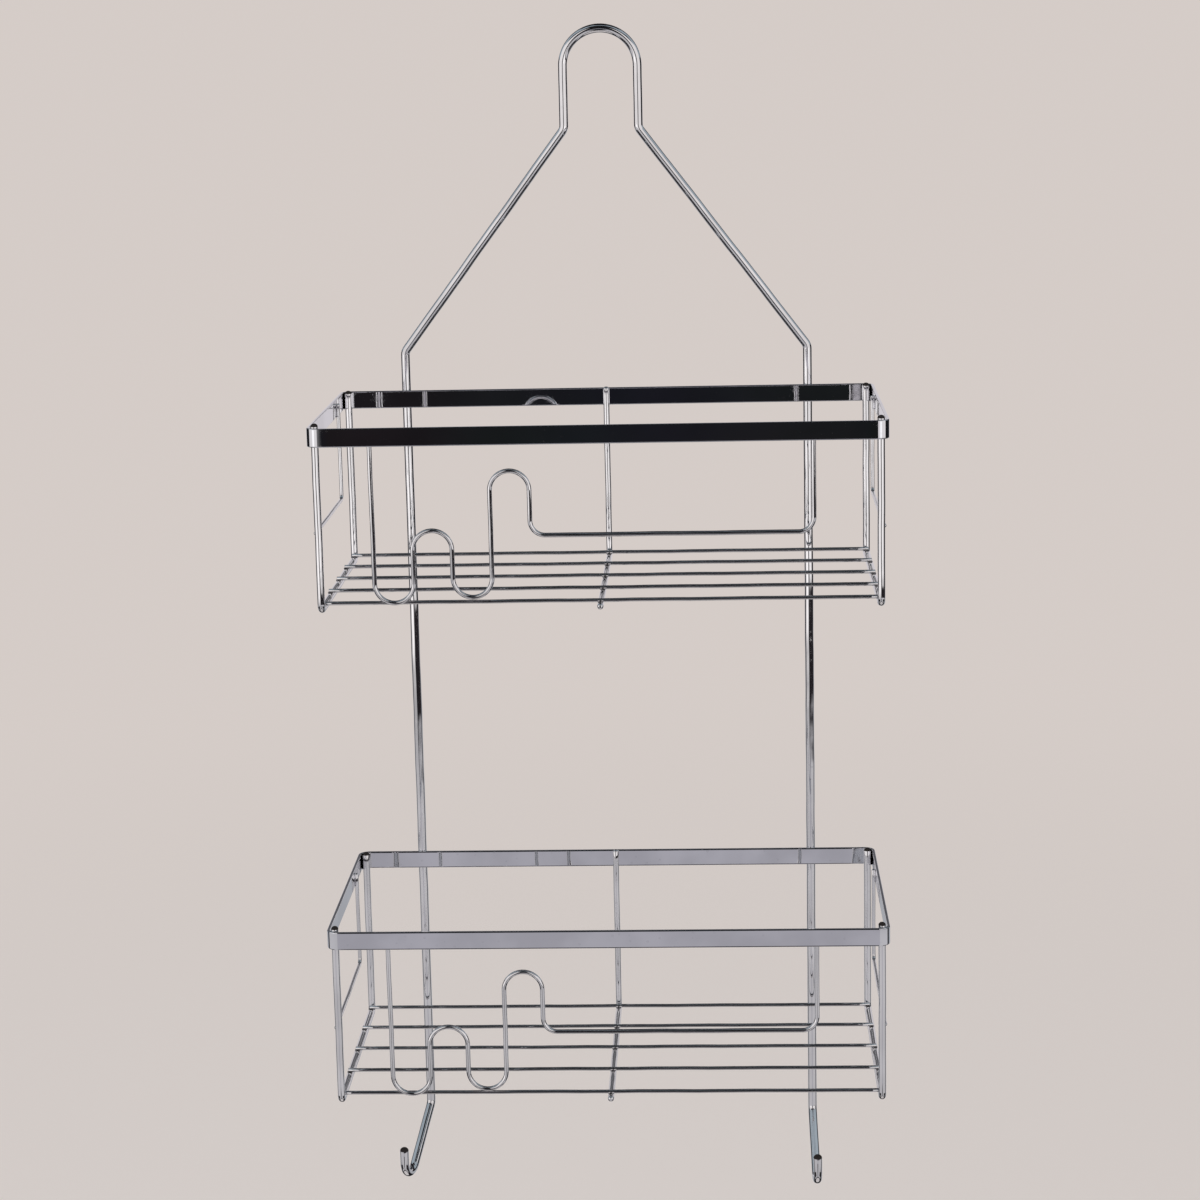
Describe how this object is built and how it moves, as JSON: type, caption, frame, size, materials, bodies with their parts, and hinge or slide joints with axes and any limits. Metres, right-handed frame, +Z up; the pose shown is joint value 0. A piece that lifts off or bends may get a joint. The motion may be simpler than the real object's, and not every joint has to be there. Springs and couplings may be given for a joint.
{
  "type": "shower caddy",
  "caption": "Chrome wire shower caddy that hangs from a shower arm by a loop, with two open baskets, razor holders and a hook at the foot of each leg.",
  "frame": {"origin": "where the inside of the hang loop's top rests on a shower arm", "axes": "+Z up, +X to the right seen from the front, +Y to the wall behind the caddy"},
  "size_m": [0.29, 0.1447, 0.6441],
  "materials": {
    "chrome_frame": "bright chrome plate on round steel wire",
    "chrome_band": "bright chrome plate on flat steel strip",
    "chrome_wire": "bright chrome plate on round steel wire",
    "chrome_fine_wire": "bright chrome plate on thin steel wire"
  },
  "bodies": {
    "root": {"hanging_frame": "chrome_frame", "upper_rim_band": "chrome_band", "upper_left_side_wire": "chrome_wire", "upper_right_side_wire": "chrome_wire", "upper_centre_wire": "chrome_wire", "upper_front_guard": "chrome_fine_wire", "upper_left_side_guard": "chrome_fine_wire", "upper_right_side_guard": "chrome_fine_wire", "lower_rim_band": "chrome_band", "lower_left_side_wire": "chrome_wire", "lower_right_side_wire": "chrome_wire", "lower_centre_wire": "chrome_wire", "lower_front_guard": "chrome_fine_wire", "lower_left_side_guard": "chrome_fine_wire", "lower_right_side_guard": "chrome_fine_wire", "upper_floor_wire_1": "chrome_fine_wire", "upper_floor_wire_2": "chrome_fine_wire", "upper_floor_wire_3": "chrome_fine_wire", "upper_floor_wire_4": "chrome_fine_wire", "upper_floor_wire_5": "chrome_fine_wire", "lower_floor_wire_1": "chrome_fine_wire", "lower_floor_wire_2": "chrome_fine_wire", "lower_floor_wire_3": "chrome_fine_wire", "lower_floor_wire_4": "chrome_fine_wire", "lower_floor_wire_5": "chrome_fine_wire"}
  },
  "joints": []
}
